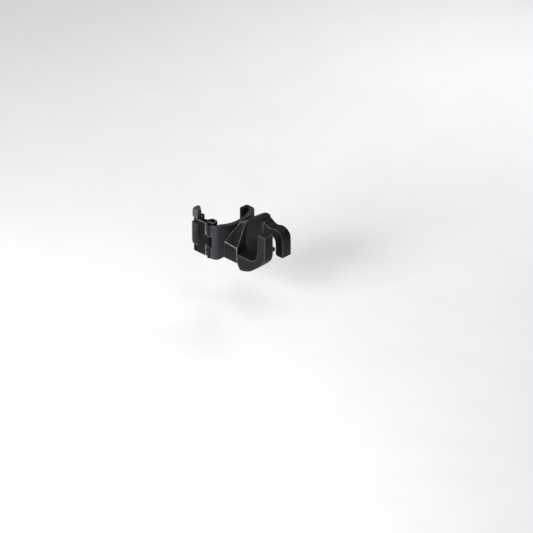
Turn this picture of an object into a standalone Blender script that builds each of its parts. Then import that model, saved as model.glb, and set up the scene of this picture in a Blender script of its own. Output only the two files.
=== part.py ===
"""Fence insulator: a black plastic clamp for a T-post with two staggered fingers that hold a fence rope.

Metres, +Z up. The origin is the centre of the saddle's flat back face, which bears on the post's flange.
The fingers reach out towards -Y, the clamp closes behind the flange towards +Y, and +X is to the right when
facing it.
Depth is written below as "n", the distance out from the flange: n = -Y.
"""

import math

import bmesh
import bpy
from mathutils import Vector

MM = 0.001
GAP = 0.3                    # clearance between neighbouring pieces

# clamp band
BAND_HALF = 13.25            # half the height of the saddle and of the clamp arm
FLANGE_HALF = 17.5           # half the width of the post's flange
SADDLE_HALF = 20.0           # half the width over the saddle
PLATE = 3.0                  # thickness of the saddle's front plate
CORNER = 2.6                 # chamfer on the plate's two front corners
SIDE_IN = FLANGE_HALF + GAP  # inner face of the saddle's side walls
FLANGE_BACK = -3.4           # where the jaws close behind the flange
JAW_LIP = 3.0                # thickness of the lips behind the flange
JAW_REACH = 6.0              # how far the lips reach inwards behind the flange
CORNER_EASE = 0.35           # how far the middle of that chamfer is pushed out, as a share of it
SIDE_BACK = -1.7             # where the left side wall ends, short of the hinge
LIP_CORNER = 1.2             # chamfer on the corners of the right lip
LIP_ENTRY = (0.6, 0.9)       # chamfer on the lip's inner edge: depth and width
TOP_DIP = ((-17.0, 13.25), (-13.0, 12.5), (-7.0, 10.7), (0.0, 9.4), (6.0, 9.4), (12.0, 10.4),
           (17.5, 13.25))    # (u, z) that the plate's top edge curves through
OVERRUN = 2.0                # how far cutters run past what they cut

# clamp arm and its hinge
HINGE_U, HINGE_N = -19.4, -4.2
KNUCKLE_R = 1.8
PIN_R = 0.85
MID_KNUCKLE = 4.3            # half the height of the arm's own knuckle
KNUCKLE_WEB = (0.6, 1.0)     # how far the webs behind the saddle's knuckles run past the wall, and their end
KNUCKLE_NECK = (0.6, 1.4)    # reach of the arm's neck left and right of the hinge axis
ARM_LEFT = -20.0             # outer face of the arm's side wall
ARM_FRONT = -7.2
ARM_IN = -15.6               # inner face of the arm's side wall
ARM_LIP_LEFT = -16.9
# the arm's inner outline (u, n), from the rear panel's end round to the lip behind the flange
ARM_INSIDE = ((-11.2, -17.2), (-12.0, -16.4), (-15.8, -16.4), (-15.6, -15.6), (-15.6, -11.2),
              (-14.8, -10.2), (-12.4, -9.4), (-11.5, -8.2), (-11.5, -4.2), (-12.3, FLANGE_BACK),
              (ARM_LIP_LEFT, FLANGE_BACK), (ARM_LIP_LEFT, ARM_FRONT), (-19.5, ARM_FRONT))

# latch on the rear corner of the arm
LATCH_U, LATCH_N = -18.4, -18.6
LATCH_R = 2.7
LATCH_PIN_R = 0.9
LATCH_LOW, LATCH_HIGH = -6.8, 8.6
LATCH_TOP = 19.6
ARM_CORNER_R = 1.6
WINDOW_CLEAR = 0.4           # clearance round the latch's barrel in the arm
TOE_END = -5.0
TOE_BACK, TOE_FRONT = -22.6, -20.5
# the toe seen from behind (u, z), and the thumb head seen from above (u, n)
TOE_OUTLINE = ((-18.8, LATCH_LOW), (TOE_END - 1.5, LATCH_LOW), (TOE_END, LATCH_LOW + 1.5), (TOE_END, 1.6),
               (TOE_END - 1.2, 3.0), (-13.5, LATCH_HIGH), (-18.8, LATCH_HIGH))
RISER = (-16.4, -12.0)       # left and right of the strip that joins toe and head
HEAD_PLAN = ((-20.0, -16.6), (-20.0, -20.0), (-18.4, TOE_BACK + 0.4), (-17.6, TOE_BACK), (-12.6, TOE_BACK),
             (-12.0, TOE_BACK + 0.6), (-12.0, TOE_FRONT), (-13.4, -18.6), (-15.4, -16.2), (-19.5, -16.1))
HEAD_MIDDLE = (-17.0, -19.4)
# how the head narrows towards its top: drop below the top, then width and depth as shares
HEAD_TAPER = ((2.4, 1.0, 1.0), (0.8, 0.94, 0.92), (0.0, 0.78, 0.74))

# claw block and hooks
CLAW_LEFT, CLAW_RIGHT = -12.6, 13.7
FINGER_W = 8.3
WALL = 16.0                  # depth of the back wall on its left
BROW = 24.2                  # depth of the back wall on its right, which carries the upper hook
FINGER_BACK, FINGER_FRONT = 36.2, 43.5
FLOOR = -5.75                # height of the rope seat
FRONT_FINGER_TOP = 17.75
REAR_FINGER_LOW = -5.75

# slanted face of the claw block: depth, height of its foot on the left side, and its upper end (u, z)
FACET = ((PLATE, -0.55, 3.5, 9.25), (WALL + 0.01, -1.25, -4.0, 15.75))
FACET_OVER = 3.0             # how far the cutter runs past the block's left side
FACET_RISE = 20.0
SLANT_LEFT, SLANT_RIGHT = -3.17, 5.4    # where the wall's slanted stretch starts, and where it reaches the brow
FAR = 50.0                   # beyond every face of the object, for cutters
SHELF_INSET = 1.0            # how far the shelf starts inside the lower hook

SEGMENTS = 40
RUNNING = 0.08               # clearance of a pin in its bore

SHELF_BACK = WALL + GAP
# side outlines (n, z): single points are corners, and a run in its own brackets is a smooth curve through them
BLOCK_PROFILE = ((PLATE + GAP, -BAND_HALF), (BROW, -BAND_HALF),
                 ((BROW, 15.6), (23.2, 18.5), (19.9, 19.1), (15.3, 16.95), (8.1, 11.95), (PLATE + GAP, 9.4)))
UPPER_PROFILE = (((24.5, 17.0), (27.2, 15.1), (30.6, 14.0), (36.0, 15.0), (40.0, 13.75), (42.8, 11.0),
                  (FINGER_FRONT, 7.8)),
                 (FINGER_FRONT, -5.0), (43.0, REAR_FINGER_LOW), (37.4, REAR_FINGER_LOW), (FINGER_BACK, -4.6),
                 ((FINGER_BACK, 3.4), (35.1, 6.8), (32.0, 8.3)), (24.5, 8.6))
LOWER_PROFILE = ((SHELF_BACK, FLOOR), ((28.0, FLOOR), (33.0, -4.1), (FINGER_BACK, 1.8)), (FINGER_BACK, 17.25),
                 (36.7, FRONT_FINGER_TOP), (43.0, FRONT_FINGER_TOP), (FINGER_FRONT, 17.25),
                 ((FINGER_FRONT, 1.75), (42.2, -2.6), (38.4, -7.0), (29.4, -14.2), (23.0, -16.7),
                  (19.6, -17.4)),
                 ((18.5, -17.1), (17.4, -15.2), (SHELF_BACK, -13.6)))
SHELF_PROFILE = ((SHELF_BACK, FLOOR), ((27.2, FLOOR), (28.2, -7.2), (26.4, -10.0), (20.0, -13.2)),
                 (SHELF_BACK, -13.6))
CURVE_STEPS = 4              # straight pieces between two points of a curve


# ---------------------------------------------------------------- mesh helpers

def spot(u, n, z):
    """A point from its offsets to the right, out from the flange and up, in millimetres."""
    return Vector((u, -n, z)) * MM


def curve(points):
    """A smooth run through the points (a Catmull-Rom curve), its two ends kept."""
    padded = [points[0], *points, points[-1]]
    run = []
    for a, b, c, d in zip(padded, padded[1:], padded[2:], padded[3:]):
        for step in range(CURVE_STEPS):
            t = step / CURVE_STEPS
            weights = (-t + 2 * t**2 - t**3, 2 - 5 * t**2 + 3 * t**3, t + 4 * t**2 - 3 * t**3, -t**2 + t**3)
            run.append(tuple(sum(w * p[axis] for w, p in zip(weights, (a, b, c, d))) / 2 for axis in (0, 1)))
    return run + [points[-1]]


def outline(parts):
    """The points of an outline whose parts are corners or curves."""
    points = []
    for part in parts:
        if isinstance(part[0], tuple):
            points.extend(curve(part))
        else:
            points.append(part)
    return points


def solid(name, rings):
    """A closed mesh from a list of rings of equal length; the first and last rings are capped."""
    bm = bmesh.new()
    made = [[bm.verts.new(p) for p in ring] for ring in rings]
    count = len(made[0])
    for low, high in zip(made, made[1:]):
        for i in range(count):
            j = (i + 1) % count
            bm.faces.new((low[i], low[j], high[j], high[i]))
    bm.faces.new(list(reversed(made[0])))
    bm.faces.new(made[-1])
    bmesh.ops.recalc_face_normals(bm, faces=bm.faces)
    mesh = bpy.data.meshes.new(name)
    bm.to_mesh(mesh)
    bm.free()
    obj = bpy.data.objects.new(name, mesh)
    bpy.context.scene.collection.objects.link(obj)
    return obj


def across(name, shape, left, right):
    """A prism along the width: shape in (n, z), with corners and curves."""
    return solid(name, [[spot(u, n, z) for n, z in outline(shape)] for u in (left, right)])


def upright(name, shape, low, high):
    """A prism up the height: shape in (u, n)."""
    return solid(name, [[spot(u, n, z) for u, n in shape] for z in (low, high)])


def outward(name, shape, near, far):
    """A prism out from the flange: shape in (u, z)."""
    return solid(name, [[spot(u, n, z) for u, z in shape] for n in (near, far)])


def block(name, u, n, z):
    return upright(name, ((u[0], n[0]), (u[1], n[0]), (u[1], n[1]), (u[0], n[1])), *z)


def round_bar(name, u, n, radius, low, high, segments=SEGMENTS, chamfer=0.0):
    """An upright round bar, its two ends chamfered."""
    def ring(r, z):
        turns = (2 * math.pi * k / segments for k in range(segments))
        return [spot(u + r * math.cos(t), n + r * math.sin(t), z) for t in turns]
    if chamfer:
        return solid(name, [ring(radius - chamfer, low), ring(radius, low + chamfer),
                            ring(radius, high - chamfer), ring(radius - chamfer, high)])
    return solid(name, [ring(radius, low), ring(radius, high)])


def combine(target, others, operation):
    """Joins other solids into the target, or cuts them out of it, and removes them."""
    for other in others:
        step = target.modifiers.new(operation, "BOOLEAN")
        step.operation = operation
        step.solver = "EXACT"
        step.object = other
        bpy.context.view_layer.update()
        graph = bpy.context.evaluated_depsgraph_get()
        mesh = bpy.data.meshes.new_from_object(target.evaluated_get(graph))
        target.modifiers.clear()
        target.data = mesh
        bpy.data.objects.remove(other, do_unlink=True)
    return target


def join(target, *others):
    return combine(target, others, "UNION")


def cut(target, *others):
    return combine(target, others, "DIFFERENCE")


def plastic(name, colour, roughness, metallic=0.0):
    material = bpy.data.materials.new(name)
    material.use_nodes = True
    shader = material.node_tree.nodes["Principled BSDF"]
    shader.inputs["Base Color"].default_value = (*colour, 1.0)
    shader.inputs["Roughness"].default_value = roughness
    shader.inputs["Metallic"].default_value = metallic
    return material


def finish(obj, name, material, pivot=None, smooth=35):
    """Names the piece, gives it its material and puts its origin on its pivot."""
    obj.name = name
    obj.data.name = name
    obj.data.materials.clear()
    obj.data.materials.append(material)
    if pivot is not None:
        at = spot(*pivot)
        for vertex in obj.data.vertices:
            vertex.co -= at
        obj.location = at
    obj.data.set_sharp_from_angle(angle=math.radians(smooth))
    return obj


# ---------------------------------------------------------------- pieces

def make_saddle():
    """Front plate with a dipped top, a side wall at each flange edge, the right jaw and two hinge knuckles."""
    side, ease = SADDLE_HALF, CORNER_EASE * CORNER
    lip_back, lip_end = FLANGE_BACK - JAW_LIP, SIDE_IN - JAW_REACH
    plan = ((-side, SIDE_BACK), (-side, PLATE - CORNER), (-side + ease, PLATE - ease), (-side + CORNER, PLATE),
            (side - CORNER, PLATE), (side - ease, PLATE - ease), (side, PLATE - CORNER),
            (side, lip_back + LIP_CORNER), (side - LIP_CORNER, lip_back), (lip_end + LIP_CORNER, lip_back),
            (lip_end, lip_back + LIP_CORNER), (lip_end, FLANGE_BACK - LIP_ENTRY[0]),
            (lip_end + LIP_ENTRY[1], FLANGE_BACK), (SIDE_IN, FLANGE_BACK), (SIDE_IN, 0.0), (-SIDE_IN, 0.0),
            (-SIDE_IN, SIDE_BACK))
    saddle = upright("saddle", plan, -BAND_HALF, BAND_HALF)
    above = BAND_HALF + OVERRUN
    dip = [(TOP_DIP[0][0], above), *curve(TOP_DIP), (TOP_DIP[-1][0], above)]
    cut(saddle, outward("dip", dip, -OVERRUN, PLATE + OVERRUN))
    for low, high in ((MID_KNUCKLE + GAP, BAND_HALF), (-BAND_HALF, -MID_KNUCKLE - GAP)):
        past, end = KNUCKLE_WEB
        web = block("web", (-side - past, -SIDE_IN - 0.1), (HINGE_N, -end), (low, high))
        barrel = round_bar("barrel", HINGE_U, HINGE_N, KNUCKLE_R, low, high)
        join(saddle, join(web, barrel))
    over = BAND_HALF + OVERRUN
    return cut(saddle, round_bar("bore", HINGE_U, HINGE_N, PIN_R + RUNNING, -over, over))


def make_clamp_arm():
    """Side wall at the flange's left edge, a lip behind the flange, a rear panel and the middle knuckle."""
    corner = [(LATCH_U - ARM_CORNER_R * math.cos(t), LATCH_N - ARM_CORNER_R * math.sin(t))
              for t in (math.radians(a) for a in range(0, 91, 15))]
    rear = LATCH_N - ARM_CORNER_R
    plan = [(ARM_LEFT, ARM_FRONT - 0.5), (ARM_LEFT, LATCH_N + 1.0), *corner, (-12.0, rear),
            (-11.2, rear + 0.8), *ARM_INSIDE]
    arm = upright("arm", plan, -BAND_HALF, BAND_HALF)
    barrel = round_bar("barrel", HINGE_U, HINGE_N, KNUCKLE_R, -MID_KNUCKLE, MID_KNUCKLE)
    left, right = KNUCKLE_NECK
    neck = block("neck", (HINGE_U - left, HINGE_U + right), (ARM_FRONT - 1.0, HINGE_N),
                 (-MID_KNUCKLE, MID_KNUCKLE))
    join(arm, join(neck, barrel))
    over = BAND_HALF + OVERRUN
    return cut(arm, round_bar("bore", HINGE_U, HINGE_N, PIN_R + RUNNING, -over, over),
               round_bar("window", LATCH_U, LATCH_N, LATCH_R + WINDOW_CLEAR,
                         LATCH_LOW - GAP, LATCH_HIGH + GAP),
               round_bar("latch_bore", LATCH_U, LATCH_N, LATCH_PIN_R + RUNNING, -over, over))


def make_latch():
    """Barrel in the arm's rear corner, a toe that closes behind the arm, and a raised thumb head."""
    barrel = round_bar("barrel", LATCH_U, LATCH_N, LATCH_R, LATCH_LOW, LATCH_HIGH)
    toe = outward("toe", TOE_OUTLINE, TOE_BACK, TOE_FRONT)
    riser = block("riser", RISER, (TOE_BACK, TOE_FRONT), (LATCH_HIGH - 3.0, LATCH_TOP - 1.5))
    rings = [[spot(u, n, BAND_HALF + GAP) for u, n in HEAD_PLAN]]
    mid_u, mid_n = HEAD_MIDDLE
    for drop, width, depth in HEAD_TAPER:
        rings.append([spot(mid_u + (u - mid_u) * width, mid_n + (n - mid_n) * depth, LATCH_TOP - drop)
                      for u, n in HEAD_PLAN])
    latch = join(barrel, toe, riser, solid("head", rings))
    return cut(latch, round_bar("pin_bore", LATCH_U, LATCH_N, LATCH_PIN_R + RUNNING,
                                LATCH_LOW - OVERRUN, LATCH_HIGH + OVERRUN))


def make_claw_block():
    """Stand-off block: back wall for the rope, a rising top, and a slanted face on its upper left."""
    body = across("claw", BLOCK_PROFILE, CLAW_LEFT, CLAW_RIGHT)
    # the slanted face leans more steeply at the back wall than at the saddle, so it is two flat facets
    rings = []
    for n, foot, top_u, top_z in FACET:
        slope = (top_z - foot) / (top_u - CLAW_LEFT)
        rings.append([spot(CLAW_LEFT - FACET_OVER, n, foot - FACET_OVER * slope), spot(CLAW_LEFT, n, foot),
                      spot(top_u, n, top_z), spot(top_u + FACET_RISE / slope, n, top_z + FACET_RISE),
                      spot(CLAW_LEFT - FACET_OVER, n, top_z + FACET_RISE)])
    front = upright("front", ((-FAR, WALL), (SLANT_LEFT, WALL), (SLANT_RIGHT, BROW), (SLANT_RIGHT, FAR),
                              (-FAR, FAR)), -FAR, FAR)
    return cut(body, solid("facet", rings), front)


def make_upper_hook():
    """Arm that leaves the top of the claw block on the right and turns down into the far finger."""
    return across("upper", UPPER_PROFILE, CLAW_RIGHT - FINGER_W, CLAW_RIGHT)


def make_lower_hook():
    """Shelf in front of the wall, turning up on the left into the near finger."""
    hook = across("lower", LOWER_PROFILE, CLAW_LEFT, CLAW_LEFT + FINGER_W)
    shelf = across("shelf", SHELF_PROFILE, CLAW_LEFT + SHELF_INSET, CLAW_RIGHT)
    # the shelf keeps clear of the wall's slanted stretch and of the brow
    slope = (BROW - WALL) / (SLANT_RIGHT - SLANT_LEFT)
    lift = GAP * math.hypot(1.0, slope)
    front = BROW + GAP
    room = upright("room", ((SLANT_LEFT - lift / slope, WALL), (SLANT_RIGHT + (GAP - lift) / slope, front),
                            (FAR, front), (FAR, WALL)), -FAR, FAR)
    return cut(join(hook, shelf), room)


def build():
    for obj in list(bpy.data.objects):
        bpy.data.objects.remove(obj, do_unlink=True)

    body = plastic("black_plastic", (0.030, 0.029, 0.032), 0.48)
    arm_plastic = plastic("black_plastic_arm", (0.024, 0.024, 0.026), 0.5)
    latch_plastic = plastic("grey_black_plastic", (0.045, 0.045, 0.047), 0.55)
    steel = plastic("dark_steel", (0.16, 0.16, 0.17), 0.38, 1.0)

    finish(make_saddle(), "saddle", body)
    finish(make_claw_block(), "claw_block", body)
    finish(make_upper_hook(), "upper_hook", body)
    finish(make_lower_hook(), "lower_hook", body)
    finish(make_clamp_arm(), "clamp_arm", arm_plastic, (HINGE_U, HINGE_N, 0.0))
    finish(make_latch(), "latch", latch_plastic, (LATCH_U, LATCH_N, 0.0))
    hinge_pin = round_bar("hinge_pin", HINGE_U, HINGE_N, PIN_R, -BAND_HALF, BAND_HALF, 24, 0.2)
    finish(hinge_pin, "hinge_pin", steel, (HINGE_U, HINGE_N, 0.0))
    latch_pin = round_bar("latch_pin", LATCH_U, LATCH_N, LATCH_PIN_R, -BAND_HALF, BAND_HALF, 24, 0.2)
    finish(latch_pin, "latch_pin", steel, (LATCH_U, LATCH_N, 0.0))


build()
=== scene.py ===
import math

import bpy
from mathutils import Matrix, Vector


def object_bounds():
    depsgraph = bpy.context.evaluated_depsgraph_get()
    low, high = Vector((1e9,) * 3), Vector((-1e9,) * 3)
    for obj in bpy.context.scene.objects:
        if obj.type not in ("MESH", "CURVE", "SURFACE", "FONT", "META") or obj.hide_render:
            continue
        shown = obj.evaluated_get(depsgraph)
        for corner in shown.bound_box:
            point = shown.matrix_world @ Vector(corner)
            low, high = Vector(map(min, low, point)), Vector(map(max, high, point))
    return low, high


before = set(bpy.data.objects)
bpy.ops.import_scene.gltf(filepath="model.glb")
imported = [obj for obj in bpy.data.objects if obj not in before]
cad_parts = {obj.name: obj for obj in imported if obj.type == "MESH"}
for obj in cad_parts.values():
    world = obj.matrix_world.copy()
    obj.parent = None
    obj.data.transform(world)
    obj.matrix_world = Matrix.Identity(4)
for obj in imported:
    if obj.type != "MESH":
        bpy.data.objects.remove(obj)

CAD_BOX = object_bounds()

MM = 0.001

# noise patterns: scale, detail and roughness
MOTTLE = (160.0, 4.0, 0.55)            # tone of the plastic, and its faint waviness
CLOUDS = (45.0, 2.0, 0.55)             # dusty patches, and changes of sheen
GRAIN = (3800.0, 3.0, 0.65)            # fine spark-eroded grain
SCUFFS = (900.0, 2.0, 0.5)             # scratches, drawn out and turned as below
SCUFF_STRETCH = (1.0, 1.0, 0.08)
SCUFF_TURN = (0.5, 0.35, 0.2)
PALE_EDGE_PATCHES = (420.0, 3.0, 0.55)           # patches on the pale edges, which are partly wear and partly painted highlight
TARNISH = (700.0, 4.0, 0.5)
FLOOR_PATCHES = (30.0, 2.0, 0.5)

# where in its noise a pattern starts and where it is full
MOTTLE_BAND = (0.3, 0.7)
DUST_BAND = (0.45, 0.72)
SHEEN_BAND = (0.3, 0.7)
SCUFF_BAND = (0.66, 0.78)
PALE_EDGE_BAND = (0.38, 0.58)

# shares of the plastic's own colour, and of its pale tone
MOTTLE_DARK = 0.72
# share of the plastic's colour left where painted shade darkens it
SHADE_SHARE = 0.25
DUST_PALE = 0.06
DUST_MOST = 0.6
SCUFF_PALE = 0.2
EDGE_WEAR_AND_HIGHLIGHT = 0.85                            # how far the edges are paled, partly as wear and partly as painted highlight
EDGE_PALE_LEAST = 0.3                       # share of that on the least pale patches
EDGE_PALE_AGAIN = 0.45                      # share of that beyond the second depth of a reach
# how far painted shade darkens the saddle's hinge recess
HOLLOW_SHADE = 0.9
# how far painted shade darkens the latch's lower front
SLEEVE_SHADE = 0.85

# widths in millimetres over which a change along the depth or the height fades
REACH_FADE = 0.4
AGAIN_FADE = 0.2
HOLLOW_FADE = 0.5
SLEEVE_TOP_FADE = 0.3
SLEEVE_BACK_FADE = 0.2

SHEEN_RANGE = (-0.05, 0.07)            # change of roughness over the clouds
SCUFF_ROUGH = 0.12
EDGE_SMOOTHER = 0.06                   # how much less rough the pale edges are
SPECULAR = 0.07

# edge radius of each moulding, in millimetres
EDGE = {"saddle": 0.3, "claw_block": 0.4, "upper_hook": 0.45, "lower_hook": 0.45,
        "clamp_arm": 0.4, "latch": 0.22}
EDGE_STEPS = 3
SHARP = math.radians(38)               # edges turning more than this are rounded, flatter ones shaded smooth
SLANTED = math.radians(9)              # the same for edges that run along none of the three axes
STRAIGHT = 0.997                       # how closely an edge follows an axis to count as running along it
FLAT = math.radians(0.4)               # faces that turn less than this are one face
SLIVER = 0.06                          # points closer than this, in millimetres, are one point

FLOOR_HALF = 3.0
FLOOR_DROP = 0.03                      # how far the floor is below the part
SKY_COLOUR = (0.97, 0.98, 1.0, 1.0)
SKY_STRENGTH = 0.20
# place, power and size of each lamp; all point at the origin
LAMPS = {"key": ((-0.76, -0.02, 0.30), 8.2, 0.45),
         "top": ((0.05, -0.05, 0.75), 0.7, 0.35),
         "rim": ((0.50, 0.10, 0.30), 0.8, 0.18)}

AZIMUTH, ELEVATION = math.radians(-45.5), math.radians(29.5)
CAMERA_FAR = 4.0
CAMERA_CLIP = 20.0
FRAME_WIDTH = 0.3755                   # width of the picture at the part
SENSOR = 36.0
AIM = (23.4, -23.4)                    # centre of the picture, in millimetres right of and above the origin

MIX_FIRST, MIX_SECOND, MIX_RESULT = 6, 7, 2    # the colour sockets of a mix node


# ---------------------------------------------------------------- materials

class Maker:
    """Small helper around one material's node tree."""

    def __init__(self, name):
        self.material = bpy.data.materials.new(name)
        self.material.use_nodes = True
        self.tree = self.material.node_tree
        self.shader = self.tree.nodes["Principled BSDF"]
        self.place = self.node("ShaderNodeTexCoord").outputs["Object"]

    def fill(self, socket, value):
        """Sets an input to another node's output, or to a plain value."""
        if isinstance(value, bpy.types.NodeSocket):
            self.tree.links.new(value, socket)
        else:
            socket.default_value = value

    def node(self, kind, **inputs):
        made = self.tree.nodes.new(kind)
        for name, value in inputs.items():
            self.fill(made.inputs[name.replace("_", " ")], value)
        return made

    def surface(self, **inputs):
        for name, value in inputs.items():
            self.fill(self.shader.inputs[name.replace("_", " ")], value)
        return self.material

    def noise(self, vector, pattern):
        scale, detail, rough = pattern
        return self.node("ShaderNodeTexNoise", Vector=vector, Scale=scale, Detail=detail,
                         Roughness=rough).outputs["Fac"]

    def math(self, operation, first, second):
        made = self.node("ShaderNodeMath")
        made.operation = operation
        self.fill(made.inputs[0], first)
        self.fill(made.inputs[1], second)
        return made.outputs[0]

    def spread(self, value, low, high, start=0.0, stop=1.0):
        """Maps the range from start to stop onto the one from low to high."""
        return self.node("ShaderNodeMapRange", Value=value, From_Min=start, From_Max=stop,
                         To_Min=low, To_Max=high).outputs["Result"]

    def mix(self, factor, first, second):
        """Blends two colours, each a plain tuple or another node's output."""
        made = self.node("ShaderNodeMix")
        made.data_type = "RGBA"
        self.fill(made.inputs["Factor"], factor)
        for socket, colour in ((made.inputs[MIX_FIRST], first), (made.inputs[MIX_SECOND], second)):
            self.fill(socket, (*colour, 1.0) if isinstance(colour, tuple) else colour)
        return made.outputs[MIX_RESULT]

    def ramp(self, factor, *stops):
        """Runs through two colours, each given with its place."""
        made = self.node("ShaderNodeValToRGB", Fac=factor)
        for element, (place, colour) in zip(made.color_ramp.elements, stops):
            element.position = place
            element.color = (*colour, 1.0)
        return made.outputs["Color"]

    def bump(self, height, strength, distance, **below):
        return self.node("ShaderNodeBump", Height=height, Strength=strength, Distance=distance,
                         **below).outputs["Normal"]


def plastic(name, colour, pale, roughness, seed, wear_and_highlight=0.0, reach=None, hollow=None, sleeve=None):
    """Moulded plastic: mottled tone, fine spark-eroded grain and faint scuffs.

    worn is how far its edges are paled, partly as wear and partly as painted highlight; reach holds two
    depths in front of the flange:
    the edges are paled up to the first, and less strongly again beyond the second.
    hollow is the depth behind the flange's front from which painted shade darkens the plastic, for the shade
    in a recess;
    sleeve is the height and depth below and in front of which painted shade darkens it.
    """
    m = Maker(name)
    shift = (seed, seed * 0.7, seed * 1.3)
    spot = m.node("ShaderNodeMapping", Vector=m.place, Location=shift).outputs["Vector"]
    axes = m.node("ShaderNodeSeparateXYZ", Vector=m.place)
    depth, height = axes.outputs["Y"], axes.outputs["Z"]
    mottle, clouds = m.noise(spot, MOTTLE), m.noise(spot, CLOUDS)
    drawn_out = m.node("ShaderNodeMapping", Vector=spot, Scale=SCUFF_STRETCH, Rotation=SCUFF_TURN)
    scuffs = m.spread(m.noise(drawn_out.outputs["Vector"], SCUFFS), 0.0, 1.0, *SCUFF_BAND)

    dark = tuple(c * MOTTLE_DARK for c in colour)
    # the darkest tone, used for painted shade
    black = tuple(c * SHADE_SHARE for c in colour)
    dusty = tuple((1.0 - DUST_PALE) * c + DUST_PALE * p for c, p in zip(colour, pale))
    tone = m.mix(m.spread(mottle, 0.0, 1.0, *MOTTLE_BAND), dark, colour)
    tone = m.mix(m.spread(clouds, 0.0, DUST_MOST, *DUST_BAND), tone, dusty)
    # pale edges: partly wear, partly painted highlight that makes the rounded edges read as bright lines
    if wear_and_highlight:
        amount = m.spread(m.noise(spot, PALE_EDGE_PATCHES), wear_and_highlight * EDGE_PALE_LEAST, wear_and_highlight, *PALE_EDGE_BAND)
        if reach:
            full, again = reach
            up_to = m.spread(depth, 0.0, 1.0, -(full + REACH_FADE) * MM, -full * MM)
            beyond = m.spread(depth, EDGE_PALE_AGAIN, 0.0, -(again + AGAIN_FADE) * MM, -again * MM)
            amount = m.math("MULTIPLY", amount, m.math("MAXIMUM", up_to, beyond))
        tone = m.mix(amount, tone, pale)
    # painted shade: darkens the plastic behind the hollow depth, for the shade in the saddle's hinge recess
    if hollow:
        behind = m.spread(depth, 0.0, HOLLOW_SHADE, (hollow - HOLLOW_FADE) * MM, (hollow + HOLLOW_FADE) * MM)
        tone = m.mix(behind, tone, black)
    # painted shade: darkens the plastic below the sleeve height and in front of its depth, for the shade on
    # the latch's lower front
    if sleeve:
        top, back = sleeve
        below = m.spread(height, SLEEVE_SHADE, 0.0, (top - SLEEVE_TOP_FADE) * MM, top * MM)
        ahead = m.spread(depth, 1.0, 0.0, (back - SLEEVE_BACK_FADE) * MM, (back + SLEEVE_BACK_FADE) * MM)
        tone = m.mix(m.math("MULTIPLY", below, ahead), tone, black)
    tone = m.mix(m.spread(scuffs, 0.0, SCUFF_PALE), tone, pale)

    sheen = m.spread(clouds, *(roughness + change for change in SHEEN_RANGE), *SHEEN_BAND)
    fine = m.bump(m.noise(spot, GRAIN), 0.22, 0.06 * MM)
    return m.surface(Base_Color=tone, Specular_IOR_Level=SPECULAR,
                     Roughness=m.math("ADD", sheen, m.spread(scuffs, 0.0, SCUFF_ROUGH)),
                     Normal=m.bump(mottle, 0.25, 0.3 * MM, Normal=fine))


def moulding(name, colour, pale, roughness, seed, reach=None, **shade):
    """The plastic of one moulding: its faces, and the same plastic paled along the edges, partly as wear and
    partly as painted highlight.
    """
    return (plastic(name, colour, pale, roughness, seed, **shade),
            plastic(name + "_edge", colour, pale, roughness - EDGE_SMOOTHER, seed, wear_and_highlight=EDGE_WEAR_AND_HIGHLIGHT, reach=reach,
                    **shade))


def steel(name):
    """Dark plated steel with turned rings and a little tarnish."""
    m = Maker(name)
    tarnish = m.noise(m.place, TARNISH)
    rings = m.node("ShaderNodeTexWave", Vector=m.place, Scale=1500.0, Distortion=1.5)
    rings.bands_direction = "Z"
    return m.surface(Base_Color=m.ramp(tarnish, (0.3, (0.10, 0.09, 0.08)), (0.7, (0.30, 0.30, 0.31))),
                     Roughness=m.spread(tarnish, 0.28, 0.5), Metallic=1.0,
                     Normal=m.bump(rings.outputs["Fac"], 0.2, 0.03 * MM))


def pale_floor(name):
    """Plain pale floor, brightened a little so that it fades into the background."""
    m = Maker(name)
    patches = m.noise(m.place, FLOOR_PATCHES)
    return m.surface(Base_Color=m.ramp(patches, (0.3, (0.90, 0.90, 0.90)), (0.7, (0.93, 0.93, 0.93))),
                     Roughness=0.9, Emission_Color=(1.0, 1.0, 1.0, 1.0), Emission_Strength=0.18)


# ---------------------------------------------------------------- the part's looks

# the saddle's hollow depth sets painted shade in its hinge recess
PLATE = moulding("moulded_charcoal", (0.046, 0.045, 0.051), (0.14, 0.138, 0.145), 0.44, 0.0, hollow=1.7)
BLOCK = moulding("moulded_black_block", (0.0130, 0.0122, 0.0138), (0.26, 0.255, 0.27), 0.42, 1.9,
                 # reach limits the block's pale edges, partly painted highlight, by depth
                 reach=(16.6, 23.7))
HOOK = moulding("moulded_black_hook", (0.0150, 0.0150, 0.0157), (0.10, 0.10, 0.105), 0.40, 5.3)
# the arm's plastic is made far darker than the saddle's as painted shade on its left-facing wall
ARM = moulding("moulded_black_arm_painted_shade", (0.0028, 0.0028, 0.0030), (0.24, 0.24, 0.245), 0.50, 3.1)
# the latch's plastic is made lighter than the other pieces as painted light on its head
LATCH = moulding("moulded_black_latch_painted_light", (0.070, 0.070, 0.071), (0.20, 0.20, 0.20), 0.48, 7.7,
                 # the latch's sleeve sets painted shade on its lower front
                 sleeve=(8.7, 19.0))
STEEL = (steel("plated_steel"),)

LOOKS = {"saddle": PLATE, "claw_block": BLOCK, "upper_hook": HOOK, "lower_hook": HOOK,
         "clamp_arm": ARM, "latch": LATCH, "hinge_pin": STEEL, "latch_pin": STEEL}


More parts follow.
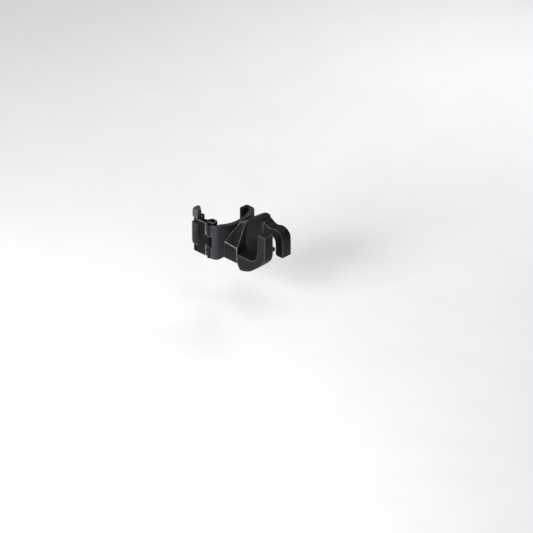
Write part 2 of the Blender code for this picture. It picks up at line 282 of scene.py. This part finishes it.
def edge_finder():
    """A node group that shades faces smooth and marks the real outward edges, not the creases of curves."""
    group = bpy.data.node_groups.new("edge_finder", "GeometryNodeTree")
    group.interface.new_socket("Geometry", in_out="INPUT", socket_type="NodeSocketGeometry")
    group.interface.new_socket("Geometry", in_out="OUTPUT", socket_type="NodeSocketGeometry")
    link = group.links.new

    def node(kind, **values):
        made = group.nodes.new(kind)
        for key, value in values.items():
            setattr(made, key, value)
        return made

    def math_node(operation, first, second):
        made = node("ShaderNodeMath", operation=operation)
        for source, socket in zip((first, second), made.inputs):
            if isinstance(source, float):
                socket.default_value = source
            else:
                link(source, socket)
        return made.outputs[0]

    # how closely each edge follows one of the axes: the largest part of its direction
    ends = node("GeometryNodeInputMeshEdgeVertices")
    along = node("ShaderNodeVectorMath", operation="SUBTRACT")
    link(ends.outputs["Position 1"], along.inputs[0])
    link(ends.outputs["Position 2"], along.inputs[1])
    unit = node("ShaderNodeVectorMath", operation="NORMALIZE")
    link(along.outputs[0], unit.inputs[0])
    size = node("ShaderNodeVectorMath", operation="ABSOLUTE")
    link(unit.outputs[0], size.inputs[0])
    parts = node("ShaderNodeSeparateXYZ")
    link(size.outputs[0], parts.inputs[0])
    most = math_node("MAXIMUM", math_node("MAXIMUM", parts.outputs[0], parts.outputs[1]), parts.outputs[2])

    turn = node("GeometryNodeInputMeshEdgeAngle")
    angle = turn.outputs["Unsigned Angle"]
    slanted = math_node("MULTIPLY", math_node("LESS_THAN", most, STRAIGHT),
                        math_node("GREATER_THAN", angle, SLANTED))
    real = math_node("MAXIMUM", slanted, math_node("GREATER_THAN", angle, SHARP))
    rounded = math_node("MULTIPLY", real, math_node("GREATER_THAN", turn.outputs["Signed Angle"], 0.0))

    start, end = node("NodeGroupInput"), node("NodeGroupOutput")
    faces = node("GeometryNodeSetShadeSmooth", domain="FACE")
    edges = node("GeometryNodeSetShadeSmooth", domain="EDGE")
    mark = node("GeometryNodeStoreNamedAttribute", data_type="FLOAT", domain="EDGE")
    mark.inputs["Name"].default_value = "bevel_weight_edge"
    link(start.outputs[0], faces.inputs[0])
    link(faces.outputs[0], edges.inputs[0])
    link(math_node("SUBTRACT", 1.0, real), edges.inputs["Shade Smooth"])
    link(edges.outputs[0], mark.inputs["Geometry"])
    link(rounded, mark.inputs["Value"])
    link(mark.outputs[0], end.inputs[0])
    return group


def dress(name, obj, edges):
    """Gives a piece its materials and, if it is moulded, its rounded edges in the pale edge plastic, which is
    partly wear and partly painted highlight.
    """
    obj.data.materials.clear()
    for material in LOOKS[name]:
        obj.data.materials.append(material)
    obj.modifiers.new("weld", "WELD").merge_threshold = SLIVER * MM
    faces = obj.modifiers.new("faces", "DECIMATE")
    faces.decimate_type = "DISSOLVE"
    faces.angle_limit = FLAT
    obj.modifiers.new("find_edges", "NODES").node_group = edges
    if name in EDGE:
        bevel = obj.modifiers.new("edges", "BEVEL")
        bevel.width = EDGE[name] * MM
        bevel.segments = EDGE_STEPS
        bevel.use_clamp_overlap = False
        bevel.limit_method = "WEIGHT"
        bevel.material = 1
        bevel.harden_normals = True


# ---------------------------------------------------------------- studio

def add(name, data, location=(0.0, 0.0, 0.0), facing=None):
    """Adds an object to the scene, its back turned towards the facing direction."""
    obj = bpy.data.objects.new(name, data)
    obj.location = location
    if facing:
        obj.rotation_euler = facing.to_track_quat("Z", "Y").to_euler()
    bpy.context.scene.collection.objects.link(obj)
    return obj


def studio():
    size, level = FLOOR_HALF, CAD_BOX[0][2] - FLOOR_DROP
    floor = bpy.data.meshes.new("floor")
    corners = [(-size, -size, level), (size, -size, level), (size, size, level), (-size, size, level)]
    floor.from_pydata(corners, [], [(0, 1, 2, 3)])
    floor.materials.append(pale_floor("studio_floor"))
    add("floor", floor)

    world = bpy.data.worlds.new("studio")
    world.use_nodes = True
    sky = world.node_tree.nodes["Background"]
    sky.inputs["Color"].default_value = SKY_COLOUR
    sky.inputs["Strength"].default_value = SKY_STRENGTH
    bpy.context.scene.world = world
    bpy.context.scene.view_settings.view_transform = "Standard"

    for name, (location, power, width) in LAMPS.items():
        light = bpy.data.lights.new(name, "AREA")
        light.energy = power
        light.size = width
        add(name, light, location, Vector(location))


def camera():
    """The viewpoint: half left of the front and about thirty degrees up, from far away."""
    away = Vector((math.sin(AZIMUTH) * math.cos(ELEVATION), -math.cos(AZIMUTH) * math.cos(ELEVATION),
                   math.sin(ELEVATION)))
    cam = bpy.data.cameras.new("camera")
    cam.sensor_width = SENSOR
    cam.lens = SENSOR * CAMERA_FAR / FRAME_WIDTH
    cam.clip_end = CAMERA_CLIP
    obj = add("camera", cam, facing=away)
    turned = obj.rotation_euler.to_matrix()
    right, up = turned @ Vector((1, 0, 0)), turned @ Vector((0, 1, 0))
    obj.location = away * CAMERA_FAR + (right * AIM[0] + up * AIM[1]) * MM
    bpy.context.scene.camera = obj


found = edge_finder()
for node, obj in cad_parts.items():
    dress(node, obj, found)
studio()
camera()
